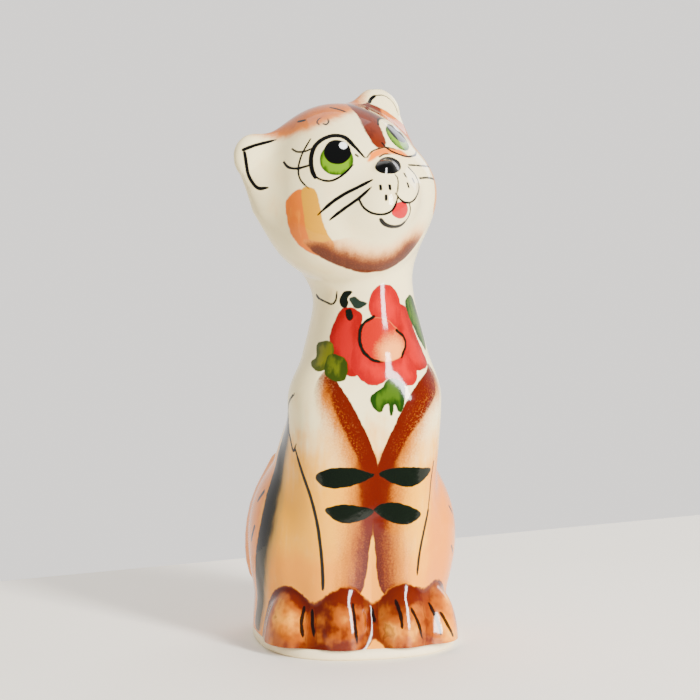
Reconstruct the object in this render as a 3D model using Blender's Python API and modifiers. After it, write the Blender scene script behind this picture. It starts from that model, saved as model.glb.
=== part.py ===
"""A sitting cat in slip-cast porcelain, 127 mm tall, as the clay pieces it is put together from.

The cat faces -Y and its own left is +X. The origin is on the table, under the middle of the foot.
Body, head and foot plate are cut from one smooth form. The ears, paws and tail are laid on it.
Design numbers are in millimetres and turn into metres where a mesh is made.
"""

import math

import bmesh
import bpy
import numpy as np
from mathutils import Matrix, Vector

MM = 0.001

# Driving dimensions, in millimetres.
WALL = 3.0
JOINT_GAP = 0.3
FOOT_THICKNESS = 2.5
VENT_DIAMETER = 8.0
VENT_PLACE = (0.0, 9.0, 0.0)
NECK_CUT = 80.0
FORM_VOXEL = 2.9
CAVITY_VOXEL = 4.0
EAR_VOXEL = 1.6

# Level sections of the torso: height, half width, front reach, back reach, lean to its left.
TORSO = np.array([
    (-6.0, 23.0, -24.4, 23.0, 0.0),
    (2.0, 23.2, -24.4, 23.2, 0.0),
    (6.0, 22.4, -20.8, 22.8, -0.3),
    (10.0, 21.8, -19.4, 22.6, -0.6),
    (18.0, 22.4, -19.6, 22.0, -0.6),
    (28.0, 22.0, -20.4, 20.0, 0.2),
    (38.0, 19.2, -20.6, 16.0, -0.8),
    (47.0, 18.2, -20.8, 12.5, 0.2),
    (56.0, 16.8, -21.0, 9.5, 1.5),
    (63.0, 15.6, -20.6, 7.0, 1.3),
    (71.0, 13.7, -19.6, 5.0, 1.2),
    (80.0, 10.8, -18.6, 3.8, 1.1),
    (92.0, 9.8, -17.6, 3.0, 1.2),
])
SQUARENESS = (2.5, 2.0)
HAUNCH_PLACE = (11.5, 2.0, 24.0)
HAUNCH_SIZE = (12.4, 18.0, 19.4)
FORELEG_TOP = (8.6, -11.0, 58.0)
FORELEG_FOOT = (7.0, -14.6, 4.0)
FORELEG_RADIUS = (8.6, 6.0)

# The head sits on the neck turned to the cat's left, lifted, and tilted to its right.
HEAD_PLACE = Vector((-3.8, -8.0, 104.3))
HEAD_TURN = math.radians(16.5)
HEAD_LIFT = math.radians(19.6)
HEAD_TILT = math.radians(15.5)
NECK = ((0.8, -7.6, 76.0), (-2.0, -6.0, 98.0), 9.3, 8.9)

# Features of the head in its own axes, whose origin is its middle and whose front is -Y.
HEAD_SIZE = (19.6, 17.4, 21.2)
CHEEK_PLACE = (9.5, -2.0, -3.8)
CHEEK_SIZE = (10.3, 11.3, 9.5)
MUZZLE_PLACE = (0.0, -13.4, -5.2)
MUZZLE_SIZE = (8.8, 7.6, 6.8)
EAR_ROOT = (13.6, 1.2, 7.3)
EAR_TIP = (16.8, 0.6, 14.9)
EAR_RADIUS = (8.9, 5.7)
EAR_FLATNESS = 0.5

# Paw pads by name: middle on the table, and half sizes. The row follows the turn of the chest.
PAWS = {
    "right_front_paw": ((-6.4, -16.9, 0.0), (7.3, 7.6, 17.2)),
    "left_front_paw": ((6.9, -17.8, 0.0), (6.8, 6.8, 16.8)),
    "right_hind_paw": ((-16.4, -11.2, 0.0), (6.7, 8.4, 15.0)),
    "left_hind_paw": ((15.2, -13.8, 0.0), (6.0, 8.2, 14.6)),
}
PAW_SQUARENESS = 2.6

# The tail's middle line, laid on the back and up the right flank, and how thick it is.
TAIL_PATH = [
    (2.0, 21.4, 7.2),
    (-9.0, 20.6, 7.6),
    (-17.4, 15.2, 12.0),
    (-20.4, 10.8, 20.0),
    (-19.8, 8.5, 30.0),
    (-15.8, 6.5, 40.5),
]
TAIL_RADIUS = (4.0, 2.6)


def head_matrix():
    """Where the head's own axes (right-left, front at -Y, up) stand on the cat."""
    turn = Matrix.Rotation(HEAD_TURN, 4, "Z")
    lift = Matrix.Rotation(-HEAD_LIFT, 4, "X")
    tilt = Matrix.Rotation(-HEAD_TILT, 4, "Y")
    return Matrix.Translation(HEAD_PLACE) @ turn @ lift @ tilt


HEAD = np.array(head_matrix())


def in_head(points):
    return (points - HEAD[:3, 3]) @ HEAD[:3, :3]


def mirrored(points):
    """Every point folded over to the cat's left, for the features that come in pairs."""
    return np.column_stack([np.abs(points[:, 0]), points[:, 1:]])


def blend(one, other, width):
    """Union of two distances, with a fillet about as wide as width."""
    share = np.clip(0.5 + 0.5 * (other - one) / width, 0, 1)
    return other + (one - other) * share - width * share * (1 - share)


def ellipsoid(points, centre, size):
    offset = points - np.array(centre)
    size = np.array(size)
    near = np.linalg.norm(offset / size, axis=1)
    far = np.linalg.norm(offset / size**2, axis=1)
    return near * (near - 1) / np.maximum(far, 1e-6)


def tapered_bar(points, start, end, start_radius, end_radius):
    start, end = np.array(start), np.array(end)
    along = (points - start) @ (end - start) / np.dot(end - start, end - start)
    along = np.clip(along, 0, 1)
    nearest = start + along[:, None] * (end - start)
    radius = start_radius + (end_radius - start_radius) * along
    return np.linalg.norm(points - nearest, axis=1) - radius


def smooth_column(heights, column):
    """A torso column at any height: straight runs between levels, rounded off at each level."""
    reach = 3.0
    offsets = np.linspace(-reach, reach, 7)
    spread = [np.interp(heights + offset, TORSO[:, 0], column) for offset in offsets]
    return np.mean(spread, axis=0)


def torso(points):
    heights = points[:, 2]
    half_width, front, back, lean = (smooth_column(heights, column) for column in TORSO.T[1:])
    middle, half_depth = (front + back) / 2, (back - front) / 2
    power = np.interp(heights, (0, 30), SQUARENESS)
    across = np.abs((points[:, 0] - lean) / half_width)
    along = np.abs((points[:, 1] - middle) / half_depth)
    side = ((across**power + along**power) ** (1 / power) - 1) * np.minimum(half_width, half_depth)
    return np.maximum(side, heights - TORSO[-1, 0])


def cat_form(points):
    """Signed distance to the body and head as one smooth form that runs on below the table."""
    folded = mirrored(points)
    form = torso(points)
    form = blend(form, ellipsoid(folded, HAUNCH_PLACE, HAUNCH_SIZE), 2.5)
    form = blend(form, tapered_bar(folded, FORELEG_TOP, FORELEG_FOOT, *FORELEG_RADIUS), 4.0)
    form = blend(form, tapered_bar(points, *NECK), 5.0)
    on_head = in_head(points)
    head = ellipsoid(on_head, (0, 0, 0), HEAD_SIZE)
    head = blend(head, ellipsoid(mirrored(on_head), CHEEK_PLACE, CHEEK_SIZE), 4.0)
    head = blend(head, ellipsoid(on_head, MUZZLE_PLACE, MUZZLE_SIZE), 4.0)
    back_of_head = np.clip((points[:, 1] + 16) / 14, 0, 1)
    return blend(form, head, 1.5 + 7.0 * back_of_head)


def ear_form(points):
    """One ear, in the head's own axes: a thick rounded triangle, flattened front to back."""
    squeeze = np.array([1, 1 / EAR_FLATNESS, 1])
    bar = tapered_bar(points * squeeze, EAR_ROOT * squeeze, EAR_TIP * squeeze, *EAR_RADIUS)
    return bar * EAR_FLATNESS


def settled(mesh, form, level):
    """Moves every vertex of mesh onto the surface where form equals level."""
    points = np.empty(len(mesh.vertices) * 3, np.float32)
    mesh.vertices.foreach_get("co", points)
    points = points.reshape(-1, 3).astype(float) / MM
    step = 0.05
    for _ in range(12):
        distance = form(points) - level
        slope = np.column_stack([
            form(points + step * axis) - form(points - step * axis) for axis in np.eye(3)
        ]) / (2 * step)
        slope /= np.maximum((slope**2).sum(axis=1), 0.2)[:, None]
        points -= np.clip(distance, -1.5, 1.5)[:, None] * slope
    mesh.vertices.foreach_set("co", (points * MM).astype(np.float32).ravel())
    mesh.update()


def ball(centre, size, frame=Matrix()):
    """Where a unit ball goes to become an ellipsoid, its centre and half sizes in millimetres."""
    stretch = Matrix.Diagonal((*Vector(size), 1))
    return Matrix.Scale(MM, 4) @ frame @ Matrix.Translation(centre) @ stretch


def bar(start, end, start_radius, end_radius, flatness=1.0, frame=Matrix()):
    """A run of balls from start to end, close enough to remesh as one bar."""
    balls = []
    for share in np.linspace(0, 1, 13):
        radius = start_radius + (end_radius - start_radius) * share
        size = (radius, radius * flatness, radius)
        balls.append(ball(Vector(start).lerp(Vector(end), share), size, frame))
    return balls


def balls_mesh(name, balls):
    """One mesh of overlapping balls, from a list of their placements."""
    bm = bmesh.new()
    bmesh.ops.create_uvsphere(bm, u_segments=24, v_segments=16, radius=1)
    unit = np.array([(*vert.co, 1) for vert in bm.verts])
    unit_faces = [[vert.index for vert in face.verts] for face in bm.faces]
    bm.free()
    points, faces = [], []
    for number, place in enumerate(balls):
        points += (unit @ np.array(place).T)[:, :3].tolist()
        faces += [[index + number * len(unit) for index in face] for face in unit_faces]
    mesh = bpy.data.meshes.new(name)
    mesh.from_pydata(points, [], faces)
    return mesh


def skin_over(name, balls, voxel):
    """Balls merged into one closed skin of even faces, which is then ready to settle."""
    rough = bpy.data.objects.new(name, balls_mesh(name, balls))
    bpy.context.scene.collection.objects.link(rough)
    remesh = rough.modifiers.new("Skin", "REMESH")
    remesh.mode = "VOXEL"
    remesh.voxel_size = voxel * MM
    smooth = rough.modifiers.new("Even", "SMOOTH")
    smooth.iterations = 6
    graph = bpy.context.evaluated_depsgraph_get()
    skin = bpy.data.meshes.new_from_object(rough.evaluated_get(graph))
    bpy.data.objects.remove(rough)
    return skin


def form_mesh(name, level, voxel):
    """The whole smooth form of the cat, shrunk or grown by level."""
    balls = []
    for height in np.arange(-4, 90, 2.0):
        half_width, front, back, lean = (np.interp(height, TORSO[:, 0], row) for row in TORSO.T[1:])
        centre = (lean, (front + back) / 2, height)
        balls.append(ball(centre, (half_width, (back - front) / 2, 5)))
    for side in (-1, 1):
        balls.append(ball((side * HAUNCH_PLACE[0], *HAUNCH_PLACE[1:]), HAUNCH_SIZE))
    balls += bar(*NECK)
    balls.append(ball((0, 0, 0), HEAD_SIZE, head_matrix()))
    balls.append(ball(MUZZLE_PLACE, MUZZLE_SIZE, head_matrix()))
    mesh = skin_over(name, balls, voxel)
    settled(mesh, cat_form, level)
    return mesh


def ear_mesh(name, side):
    root, tip = ((side * place[0], *place[1:]) for place in (EAR_ROOT, EAR_TIP))
    mesh = skin_over(name, bar(root, tip, *EAR_RADIUS, EAR_FLATNESS, head_matrix()), EAR_VOXEL)
    fold = np.array([side, 1, 1])
    settled(mesh, lambda points: ear_form(in_head(points) * fold), 0.0)
    return mesh


def pad_mesh(name, centre, size):
    """One paw: a pad, round in plan, with steep sides and a flattish domed top."""
    mesh = balls_mesh(name, [ball((0, 0, 0), (1, 1, 1))])
    for vertex in mesh.vertices:
        place = np.array(vertex.co) / MM
        plan = math.hypot(place[0], place[1])
        swell = (plan**PAW_SQUARENESS + abs(place[2]) ** PAW_SQUARENESS) ** (1 / PAW_SQUARENESS)
        vertex.co = Vector((place / swell * size + centre) * MM)
    mesh.update()
    return mesh


def tail_mesh():
    """The tail as a tapered roll of clay with closed ends."""
    curve = bpy.data.curves.new("tail", "CURVE")
    curve.dimensions = "3D"
    curve.bevel_depth = TAIL_RADIUS[0] * MM
    curve.bevel_resolution = 4
    curve.resolution_u = 4
    curve.use_fill_caps = True
    spline = curve.splines.new("BEZIER")
    spline.bezier_points.add(len(TAIL_PATH) - 1)
    taper = np.linspace(1, TAIL_RADIUS[1] / TAIL_RADIUS[0], len(TAIL_PATH))
    for point, place, radius in zip(spline.bezier_points, TAIL_PATH, taper):
        point.co = Vector(place) * MM
        point.handle_left_type = point.handle_right_type = "AUTO"
        point.radius = radius
    roll = bpy.data.objects.new("tail_roll", curve)
    bpy.context.scene.collection.objects.link(roll)
    graph = bpy.context.evaluated_depsgraph_get()
    mesh = bpy.data.meshes.new_from_object(roll.evaluated_get(graph))
    bpy.data.objects.remove(roll)
    bm = bmesh.new()
    bm.from_mesh(mesh)
    bmesh.ops.remove_doubles(bm, verts=bm.verts, dist=0.01 * MM)
    bm.to_mesh(mesh)
    bm.free()
    return mesh


def slab_mesh(name, low, high):
    """A wide box between two heights, in millimetres."""
    bm = bmesh.new()
    place = Matrix.Translation((0, 0, (low + high) / 2)) @ Matrix.Diagonal((200, 200, high - low, 1))
    bmesh.ops.create_cube(bm, size=1, matrix=Matrix.Scale(MM, 4) @ place)
    mesh = bpy.data.meshes.new(name)
    bm.to_mesh(mesh)
    bm.free()
    return mesh


def vent_mesh(name):
    """A round bar up through the foot, as wide as the vent hole."""
    bm = bmesh.new()
    radius = VENT_DIAMETER / 2 * MM
    place = Matrix.Translation(Vector(VENT_PLACE) * MM)
    bmesh.ops.create_cone(
        bm, cap_ends=True, segments=32, radius1=radius, radius2=radius, depth=20 * MM, matrix=place
    )
    mesh = bpy.data.meshes.new(name)
    bm.to_mesh(mesh)
    bm.free()
    return mesh


def porcelain(name, colour, roughness):
    material = bpy.data.materials.new(name)
    material.use_nodes = True
    shader = material.node_tree.nodes["Principled BSDF"]
    shader.inputs["Base Color"].default_value = (*colour, 1)
    shader.inputs["Roughness"].default_value = roughness
    shader.inputs["Metallic"].default_value = 0.0
    return material


def put(name, mesh, collection, material):
    """Links mesh as an object of that name, smooth where it is round."""
    piece = bpy.data.objects.new(name, mesh)
    collection.objects.link(piece)
    mesh.shade_smooth()
    mesh.set_sharp_from_angle(angle=math.radians(40))
    mesh.materials.clear()
    mesh.materials.append(material)
    return piece


def cut(piece, *tools):
    for tool in tools:
        modifier = piece.modifiers.new(tool.name, "BOOLEAN")
        modifier.operation = "DIFFERENCE"
        modifier.solver = "EXACT"
        modifier.object = tool


for old in list(bpy.data.objects):
    bpy.data.objects.remove(old)
pieces = bpy.data.collections.new("porcelain_cat")
cutters = bpy.data.collections.new("cutters")
for collection in (pieces, cutters):
    bpy.context.scene.collection.children.link(collection)

glaze = porcelain("glazed_porcelain", (0.86, 0.80, 0.68), 0.08)
bisque = porcelain("unglazed_porcelain", (0.84, 0.82, 0.76), 0.6)

# Every skin is made before the first cut, because each new skin works all standing cuts out again.
body_foot = FOOT_THICKNESS + JOINT_GAP
tool_meshes = {
    "slip_cavity": form_mesh("slip_cavity", -WALL, CAVITY_VOXEL),
    "form_room": form_mesh("form_room", JOINT_GAP, FORM_VOXEL),
    "under_foot": slab_mesh("under_foot", -20, 0),
    "over_foot": slab_mesh("over_foot", FOOT_THICKNESS, 150),
    "under_body": slab_mesh("under_body", -20, body_foot),
    "over_body": slab_mesh("over_body", NECK_CUT, 150),
    "under_head": slab_mesh("under_head", -20, NECK_CUT + JOINT_GAP),
    "vent_hole": vent_mesh("vent_hole"),
}
for name, (centre, size) in PAWS.items():
    room = [half + JOINT_GAP for half in size]
    tool_meshes[f"{name}_room"] = pad_mesh(f"{name}_room", centre, room)
form = form_mesh("cat_form", 0.0, FORM_VOXEL)
piece_meshes = {
    "foot_plate": form,
    "body": form.copy(),
    "head": form.copy(),
    "right_ear": ear_mesh("right_ear", -1),
    "left_ear": ear_mesh("left_ear", 1),
    "tail": tail_mesh(),
}
for name, paw in PAWS.items():
    piece_meshes[name] = pad_mesh(name, *paw)

tools = {}
for name, mesh in tool_meshes.items():
    tools[name] = put(name, mesh, cutters, bisque)
    tools[name].hide_render = True
    tools[name].display_type = "WIRE"

# What is cut away from each piece.
CUTS = {
    "foot_plate": ["under_foot", "over_foot", "vent_hole"],
    "body": ["under_body", "over_body", "slip_cavity"],
    "head": ["under_head", "slip_cavity"],
    "right_ear": ["form_room"],
    "left_ear": ["form_room"],
    "tail": ["under_body", "form_room"],
    "right_front_paw": ["under_body", "form_room"],
    "left_front_paw": ["under_body", "form_room", "right_front_paw_room"],
    "right_hind_paw": ["under_body", "form_room", "right_front_paw_room"],
    "left_hind_paw": ["under_body", "form_room", "left_front_paw_room"],
}
for name, mesh in piece_meshes.items():
    piece = put(name, mesh, pieces, bisque if name == "foot_plate" else glaze)
    cut(piece, *(tools[tool] for tool in CUTS[name]))
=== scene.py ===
"""Looks of a sitting cat in hand-painted porcelain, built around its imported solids.

The cat is slip-cast in two hollow pieces, its ears, paws and tail are stuck on, and it is painted
in underglaze colours before one clear glaze runs over it all. Lengths are in millimetres until a
mesh is made. The cat faces -Y and its own left is +X.
"""

import math

import bmesh
import bpy
import numpy as np
from mathutils import Matrix, Vector


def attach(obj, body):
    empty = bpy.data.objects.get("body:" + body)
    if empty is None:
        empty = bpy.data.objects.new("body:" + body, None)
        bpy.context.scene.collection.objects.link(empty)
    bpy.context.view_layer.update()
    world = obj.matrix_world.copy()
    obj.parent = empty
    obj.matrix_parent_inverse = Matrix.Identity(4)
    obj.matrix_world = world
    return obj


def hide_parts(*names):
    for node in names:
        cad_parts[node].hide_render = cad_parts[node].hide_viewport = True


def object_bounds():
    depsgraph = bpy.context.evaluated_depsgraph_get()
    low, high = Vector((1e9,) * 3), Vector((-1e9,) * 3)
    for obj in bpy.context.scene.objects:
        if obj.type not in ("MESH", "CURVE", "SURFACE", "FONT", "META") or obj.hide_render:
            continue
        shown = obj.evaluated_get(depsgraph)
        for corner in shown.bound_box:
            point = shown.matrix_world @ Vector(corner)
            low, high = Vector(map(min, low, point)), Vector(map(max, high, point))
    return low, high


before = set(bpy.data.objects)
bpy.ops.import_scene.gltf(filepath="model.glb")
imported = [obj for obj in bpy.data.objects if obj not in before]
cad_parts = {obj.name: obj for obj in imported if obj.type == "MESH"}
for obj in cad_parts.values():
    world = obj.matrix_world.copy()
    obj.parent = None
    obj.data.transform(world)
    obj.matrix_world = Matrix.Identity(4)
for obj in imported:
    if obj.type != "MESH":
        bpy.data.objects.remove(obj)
CAD_BOX = [list(corner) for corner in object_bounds()]
MM = 0.001

# ---------------------------------------------------------------------------------------------
# The two castings. Body and head leave the mould as one smooth swelling form, cast about 3 mm
# thick. Here the form is a signed distance, blended from ellipsoids and tapered bars the way
# soft clay runs together, and one skin is drawn tight over it.
# ---------------------------------------------------------------------------------------------

# Level sections of the torso: height, half width, front reach, back reach, lean to its left.
TORSO = np.array([
    (-6.0, 23.0, -24.4, 23.0, 0.0),
    (2.0, 23.2, -24.4, 23.2, 0.0),
    (6.0, 22.4, -20.8, 22.8, -0.3),
    (10.0, 21.8, -19.4, 22.6, -0.6),
    (18.0, 22.4, -19.6, 22.0, -0.6),
    (28.0, 22.0, -20.4, 20.0, 0.2),
    (38.0, 19.2, -20.6, 16.0, -0.8),
    (47.0, 18.2, -20.8, 12.5, 0.2),
    (56.0, 16.8, -21.0, 9.5, 1.5),
    (63.0, 15.6, -20.6, 7.0, 1.3),
    (71.0, 13.7, -19.6, 5.0, 1.2),
    (80.0, 10.8, -18.6, 3.8, 1.1),
    (92.0, 9.8, -17.6, 3.0, 1.2),
])
SQUARENESS = (2.5, 2.0)
HAUNCH = ((11.5, 2.0, 24.0), (12.4, 18.0, 19.4))
FORELEG = ((8.6, -11.0, 58.0), (7.0, -14.6, 4.0), 8.6, 6.0)
NECK = ((0.8, -7.6, 76.0), (-2.0, -6.0, 98.0), 9.3, 8.9)
NECK_JOINT = 75.0
HAUNCH_FILLET = 2.5
FORELEG_FILLET = 4.0
NECK_FILLET = 5.0

HEAD_PLACE = Vector((-3.8, -8.0, 104.3))
HEAD_TURN, HEAD_LIFT, HEAD_TILT = (math.radians(angle) for angle in (16.5, 19.6, 15.5))
SKULL = ((0.0, 0.0, 0.0), (19.6, 17.4, 21.2))
CHEEK = ((9.5, -2.0, -3.8), (10.3, 11.3, 9.5))
MUZZLE = ((0.0, -13.4, -5.2), (8.8, 7.6, 6.8))
NOSE = ((2.0, -17.2, 1.2), (3.0, 2.2, 2.1))
EAR = ((13.6, 1.2, 7.3), (16.8, 0.6, 14.9), 8.9, 5.7)
EAR_FLATNESS = 0.5
FACE_FILLET = 4.0
NOSE_FILLET = 1.0
EAR_FILLET = 4.6
THROAT_FILLET, NAPE_FILLET = 1.5, 8.5

HEAD_FRAME = (
    Matrix.Translation(HEAD_PLACE)
    @ Matrix.Rotation(HEAD_TURN, 4, "Z")
    @ Matrix.Rotation(-HEAD_LIFT, 4, "X")
    @ Matrix.Rotation(-HEAD_TILT, 4, "Y")
)
HEAD_AXES = np.array(HEAD_FRAME)[:3, :3]


def in_head(points):
    """Points in the head's own axes: x to its left, front at -Y, z up through the crown."""
    return (points - np.array(HEAD_PLACE)) @ HEAD_AXES


def mirrored(points):
    return np.column_stack([np.abs(points[:, 0]), points[:, 1:]])


def blend(one, other, width):
    """Union of two distances, with a fillet about as wide as width."""
    share = np.clip(0.5 + 0.5 * (other - one) / width, 0, 1)
    return other + (one - other) * share - width * share * (1 - share)


def ellipsoid(points, centre, size):
    """Distance to an ellipsoid, near enough where the skin lies."""
    offset = points - np.array(centre)
    size = np.array(size)
    near = np.linalg.norm(offset / size, axis=1)
    far = np.linalg.norm(offset / size**2, axis=1)
    return near * (near - 1) / np.maximum(far, 1e-6)


def tapered_bar(points, start, end, start_radius, end_radius):
    """Distance to a straight bar with round ends."""
    start, end = np.array(start), np.array(end)
    along = (points - start) @ (end - start) / np.dot(end - start, end - start)
    along = np.clip(along, 0, 1)
    nearest = start + along[:, None] * (end - start)
    radius = start_radius + (end_radius - start_radius) * along
    return np.linalg.norm(points - nearest, axis=1) - radius


LEVELS = np.arange(-10.0, 100.0, 0.25)
EASING = np.linspace(-3, 3, 7)
EASED_TORSO = [
    np.mean([np.interp(LEVELS + offset, TORSO[:, 0], column) for offset in EASING], axis=0)
    for column in TORSO.T[1:]
]


def torso_sizes(heights):
    """Half width, front reach, back reach and lean at each height, eased over the given levels."""
    return [np.interp(heights, LEVELS, column) for column in EASED_TORSO]


def torso(points):
    """Distance to the torso, whose sections are rounded oblongs low down and ellipses above."""
    heights = points[:, 2]
    half_width, front, back, lean = torso_sizes(heights)
    middle, half_depth = (front + back) / 2, (back - front) / 2
    power = np.interp(heights, (0, 30), SQUARENESS)
    across = np.abs((points[:, 0] - lean) / half_width)
    along = np.abs((points[:, 1] - middle) / half_depth)
    side = ((across**power + along**power) ** (1 / power) - 1) * np.minimum(half_width, half_depth)
    return np.maximum(side, heights - TORSO[-1, 0])


def cat_form(points):
    folded = mirrored(points)
    form = blend(torso(points), ellipsoid(folded, *HAUNCH), HAUNCH_FILLET)
    form = blend(form, tapered_bar(folded, *FORELEG), FORELEG_FILLET)
    form = blend(form, tapered_bar(points, *NECK), NECK_FILLET)
    on_head = in_head(points)
    head = blend(ellipsoid(on_head, *SKULL), ellipsoid(mirrored(on_head), *CHEEK), FACE_FILLET)
    head = blend(head, ellipsoid(on_head, *MUZZLE), FACE_FILLET)
    head = blend(head, ellipsoid(on_head, *NOSE), NOSE_FILLET)
    squeeze = np.array([1, 1 / EAR_FLATNESS, 1])
    root, tip = (np.array(place) * squeeze for place in EAR[:2])
    ears = tapered_bar(mirrored(on_head) * squeeze, root, tip, *EAR[2:]) * EAR_FLATNESS
    head = blend(head, ears, EAR_FILLET)
    fillet = np.interp(points[:, 1], (-16, -2), (THROAT_FILLET, NAPE_FILLET))
    return blend(form, head, fillet)


def slope_of(form, points, step=0.04):
    """The form's distance at the points, and how it changes along each axis."""
    middle = form(points)
    slope = np.column_stack([form(points + step * axis) - middle for axis in np.eye(3)]) / step
    return middle, slope


LONGEST_MOVE = 1.5


def settle(points, form, rounds=8):
    """Draws points in or out, no more than LONGEST_MOVE at a time, until they lie on the form."""
    for _ in range(rounds):
        distance, slope = slope_of(form, points)
        slope /= np.maximum((slope**2).sum(axis=1), 0.2)[:, None]
        points = points - np.clip(distance, -LONGEST_MOVE, LONGEST_MOVE)[:, None] * slope
    return points


def ball(centre, size, place=Matrix()):
    """Where a unit ball goes to become one rough lump of clay."""
    return place @ Matrix.Translation(centre) @ Matrix.Diagonal((*size, 1))


def bar(start, end, start_radius, end_radius, flatness=1.0, place=Matrix()):
    """A run of balls close enough to merge into one bar."""
    balls = []
    for share in np.linspace(0, 1, 17):
        radius = start_radius + (end_radius - start_radius) * share
        centre = Vector(start).lerp(Vector(end), share)
        balls.append(ball(centre, (radius, radius * flatness, radius), place))
    return balls


def skin_over(name, balls, voxel):
    """Rough balls of clay merged into one closed skin of even faces."""
    bm = bmesh.new()
    bmesh.ops.create_uvsphere(bm, u_segments=32, v_segments=20, radius=1)
    unit = np.array([(*vert.co, 1) for vert in bm.verts])
    unit_faces = [[vert.index for vert in face.verts] for face in bm.faces]
    bm.free()
    points, faces = [], []
    for number, place in enumerate(balls):
        points += (unit @ np.array(place).T)[:, :3].tolist()
        faces += [[index + number * len(unit) for index in face] for face in unit_faces]
    mesh = bpy.data.meshes.new(name)
    mesh.from_pydata(points, [], faces)
    rough = bpy.data.objects.new(name, mesh)
    bpy.context.scene.collection.objects.link(rough)
    remesh = rough.modifiers.new("Skin", "REMESH")
    remesh.mode = "VOXEL"
    remesh.voxel_size = voxel
    smooth = rough.modifiers.new("Even", "SMOOTH")
    smooth.iterations = 8
    graph = bpy.context.evaluated_depsgraph_get()
    skin = bpy.data.meshes.new_from_object(rough.evaluated_get(graph))
    bpy.data.objects.remove(rough)
    return skin


def torso_balls(low, high):
    """Flat balls stacked up the torso from low to high."""
    balls = []
    for height in np.arange(low, high, 2.0):
        half_width, front, back, lean = (np.interp(height, TORSO[:, 0], row) for row in TORSO.T[1:])
        balls.append(ball((lean, (front + back) / 2, height), (half_width, (back - front) / 2, 5)))
    return balls


# ---------------------------------------------------------------------------------------------
# Paws and tail. Each is a solid pad or roll of clay pressed on while damp and smoothed down with
# slip, so it meets the body in a small soft fillet. They join the form here.
# ---------------------------------------------------------------------------------------------

PAWS = {
    "right_front_paw": ((-6.4, -16.6, 0.0), (7.4, 7.6, 17.2)),
    "left_front_paw": ((6.9, -17.4, 0.0), (6.9, 6.9, 16.8)),
    "right_hind_paw": ((-16.4, -11.0, 0.0), (6.8, 8.4, 15.0)),
    "left_hind_paw": ((15.4, -13.4, 0.0), (6.2, 8.2, 14.6)),
}
PAW_SQUARENESS = 2.15
PAW_FILLET = 1.1
TOE_FILLET = 3.4
TAIL = [
    (2.0, 21.4, 7.2),
    (-9.0, 20.6, 7.6),
    (-17.4, 15.2, 12.0),
    (-20.4, 10.8, 20.0),
    (-19.8, 8.5, 30.0),
    (-15.8, 6.5, 40.5),
]
TAIL_RADIUS = (4.0, 2.6)
TAIL_FILLET = 1.4
LIMB_TOP = 50.0
FOOT_TOP = 2.5
SKIN_VOXEL = 0.34


def smooth_curve(marks, per_span=10, closed=False):
    """A Catmull-Rom curve through the marks, as evenly split spans."""
    marks = [np.array(mark, float) for mark in marks]
    if closed:
        marks = [marks[-1], *marks, marks[0], marks[1]]
    else:
        marks = [2 * marks[0] - marks[1], *marks, 2 * marks[-1] - marks[-2]]
    points = []
    for a, b, c, d in zip(marks, marks[1:], marks[2:], marks[3:]):
        for share in np.arange(per_span) / per_span:
            bend = (2 * a - 5 * b + 4 * c - d) * share**2 + (3 * b - a - 3 * c + d) * share**3
            points.append(0.5 * (2 * b + (c - a) * share + bend))
    return np.array(points if closed else [*points, marks[-2]])


TAIL_CURVE = smooth_curve(TAIL, 3)
TAIL_RADII = np.linspace(*TAIL_RADIUS, len(TAIL_CURVE))


def paw_distances(points):
    """Each paw is a flat-topped dome, round in plan, that stands on the foot."""
    found = []
    for place, size in PAWS.values():
        offset = np.abs((points - np.array(place)) / np.array(size))
        plan = np.hypot(offset[:, 0], offset[:, 1])
        swell = (plan**PAW_SQUARENESS + offset[:, 2] ** PAW_SQUARENESS) ** (1 / PAW_SQUARENESS)
        found.append((swell - 1) * size[0])
    return found


def tail_distance(points):
    spans = zip(TAIL_CURVE, TAIL_CURVE[1:], TAIL_RADII, TAIL_RADII[1:])
    return np.min([tapered_bar(points, *span) for span in spans], axis=0)


def joined_paws(points):
    """The row of paws as one scalloped pad, its valleys filled where wet clay was smoothed."""
    paws = paw_distances(points)
    pads = paws[0]
    for paw in paws[1:]:
        pads = blend(pads, paw, TOE_FILLET)
    return pads


def whole_form(points):
    """The cat with its paws and tail on. Neither reaches above LIMB_TOP."""
    form = cat_form(points)
    low = points[:, 2] < LIMB_TOP
    if low.any():
        near = points[low]
        limbs = blend(form[low], tail_distance(near), TAIL_FILLET)
        limbs = blend(limbs, joined_paws(near), PAW_FILLET)
        form = form.copy()
        form[low] = limbs
    return form


# The rough lumps of clay, drawn over with one skin, settled on the form and cut off at the foot.
balls = torso_balls(-6, 90) + bar(*NECK)
balls += [ball(*part, HEAD_FRAME) for part in (SKULL, MUZZLE, NOSE)]
balls += [ball(*paw) for paw in PAWS.values()]
balls += [ball(place, [radius] * 3) for place, radius in zip(TAIL_CURVE, TAIL_RADII)]
for side in (-1, 1):
    balls.append(ball((side * HAUNCH[0][0], *HAUNCH[0][1:]), HAUNCH[1]))
    balls.append(ball((side * CHEEK[0][0], *CHEEK[0][1:]), CHEEK[1], HEAD_FRAME))
    root, tip = ((side * place[0], *place[1:]) for place in EAR[:2])
    balls += bar(root, tip, *EAR[2:], EAR_FLATNESS, HEAD_FRAME)
skin = skin_over("Skin", balls, SKIN_VOXEL)
points = np.array([vert.co for vert in skin.vertices])
points = np.clip(settle(points, whole_form), *(np.array(corner) / MM for corner in CAD_BOX))
skin.vertices.foreach_set("co", points.ravel())
trim = bmesh.new()
trim.from_mesh(skin)
bmesh.ops.bisect_plane(
    trim, geom=[*trim.verts, *trim.edges, *trim.faces],
    plane_co=(0, 0, FOOT_TOP), plane_no=(0, 0, -1), clear_outer=True,
)
trim.verts.index_update()
points = np.array([vert.co for vert in trim.verts])
faces = [[vert.index for vert in face.verts] for face in trim.faces]
trim.free()
slope = slope_of(whole_form, points)[1]
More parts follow.
